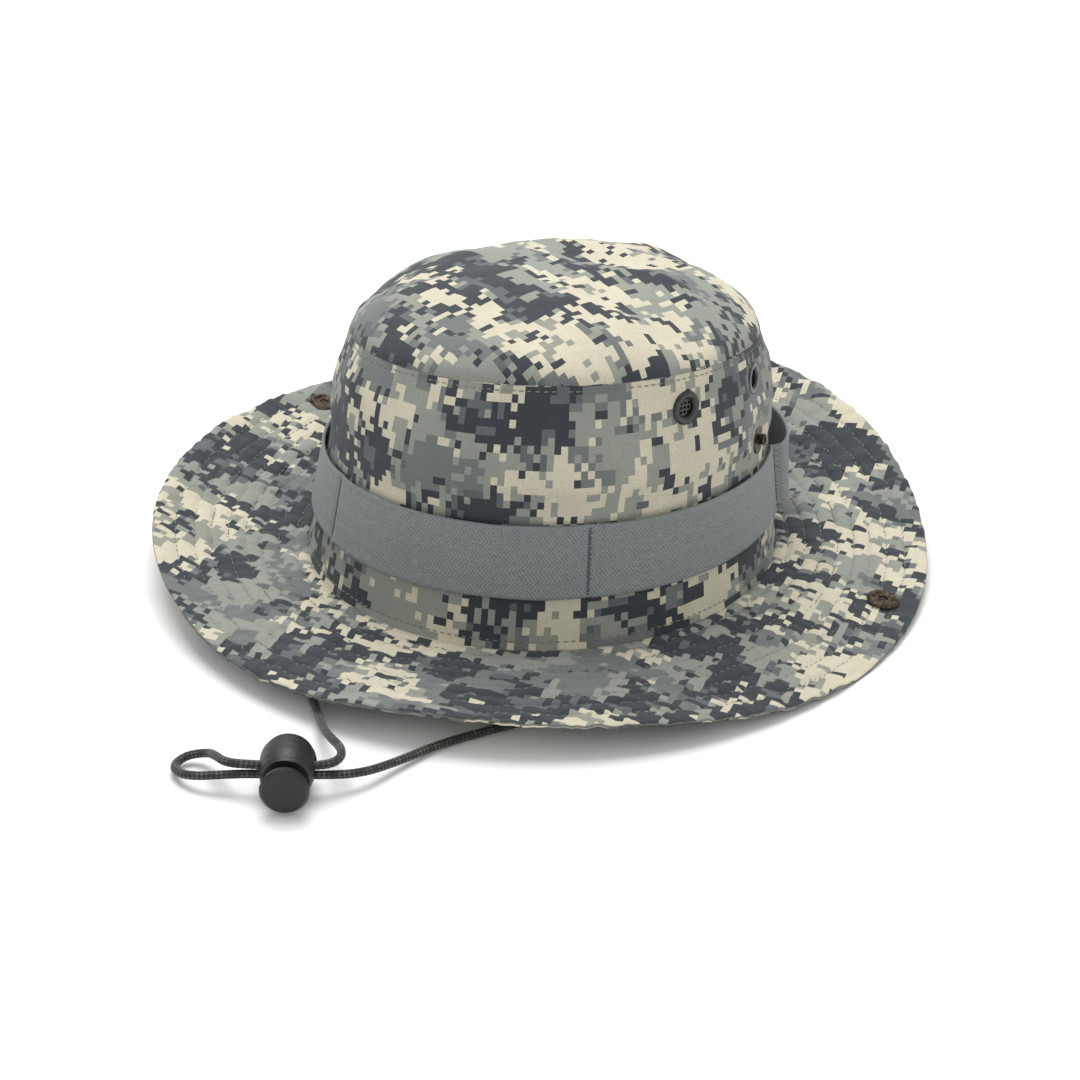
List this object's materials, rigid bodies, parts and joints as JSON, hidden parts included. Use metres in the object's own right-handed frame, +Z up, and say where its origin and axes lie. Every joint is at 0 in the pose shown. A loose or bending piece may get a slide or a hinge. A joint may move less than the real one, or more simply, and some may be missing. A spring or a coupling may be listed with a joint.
{
  "type": "boonie hat",
  "caption": "Soft oval hat with a domed crown, wide stitched brim with fold-up sides, branch-loop band, vent eyelets and a chin cord with a sprung lock.",
  "frame": {"origin": "on the surface the hat stands on, under the middle of the head opening", "axes": "+Z up, the front of the hat towards -Y, the wearer's left towards +X"},
  "size_m": [0.304, 0.3843, 0.1279],
  "materials": {
    "camouflage_cloth": "matte printed cotton ripstop",
    "interlining": "matte",
    "sweatband_cloth": "matte twill",
    "binding_tape": "matte",
    "webbing": "matte ribbed weave",
    "thread": "matte",
    "black_eyelet": "satin black enamel",
    "black_screen": "matte black",
    "antique_brass": "dark antique",
    "cord": "braided",
    "spring_steel": "bright",
    "black_plastic": "moulded"
  },
  "bodies": {
    "hat": {"band_bartacks": "thread", "branch_loop_band": "webbing", "brim_interlining": "interlining", "brim_under_ply": "camouflage_cloth", "brim_upper_ply": "camouflage_cloth", "chin_cord": "cord", "chin_cord_tabs": "binding_tape", "cord_lock_body": "black_plastic", "cord_lock_spring": "spring_steel", "crown_snap_posts": "antique_brass", "crown_snap_studs": "antique_brass", "crown_tip": "camouflage_cloth", "crown_wall": "camouflage_cloth", "eyelet_screens": "black_screen", "eyelet_washers": "black_eyelet", "sweatband": "sweatband_cloth", "tip_seam_tape": "binding_tape", "vent_eyelets": "black_eyelet"},
    "right_flap": {"brim_interlining_right": "interlining", "brim_under_ply_right": "camouflage_cloth", "brim_upper_ply_right": "camouflage_cloth", "snap_cap_right": "antique_brass", "snap_socket_right": "antique_brass"},
    "left_flap": {"brim_interlining_left": "interlining", "brim_under_ply_left": "camouflage_cloth", "brim_upper_ply_left": "camouflage_cloth", "snap_cap_left": "antique_brass", "snap_socket_left": "antique_brass"},
    "lock_plunger": {"cord_lock_plunger": "black_plastic"}
  },
  "joints": [
    {"name": "brim_fold_right", "type": "hinge", "parent": "hat", "child": "right_flap", "pos_m": [0.093, 0, 0.01625], "axis": [0, -0.9982, -0.0604], "range_deg": [0, 100]},
    {"name": "brim_fold_left", "type": "hinge", "parent": "hat", "child": "left_flap", "pos_m": [-0.093, 0, 0.0165], "axis": [0, 0.9997, 0.0234], "range_deg": [0, 95]},
    {"name": "cord_lock_press", "type": "slide", "parent": "hat", "child": "lock_plunger", "axis": [-0.5, 0.866, 0], "range_m": [0, 0.003], "stiffness_N_per_m": 1200, "springref_m": -0.003, "deforming": ["cord_lock_spring"]}
  ]
}
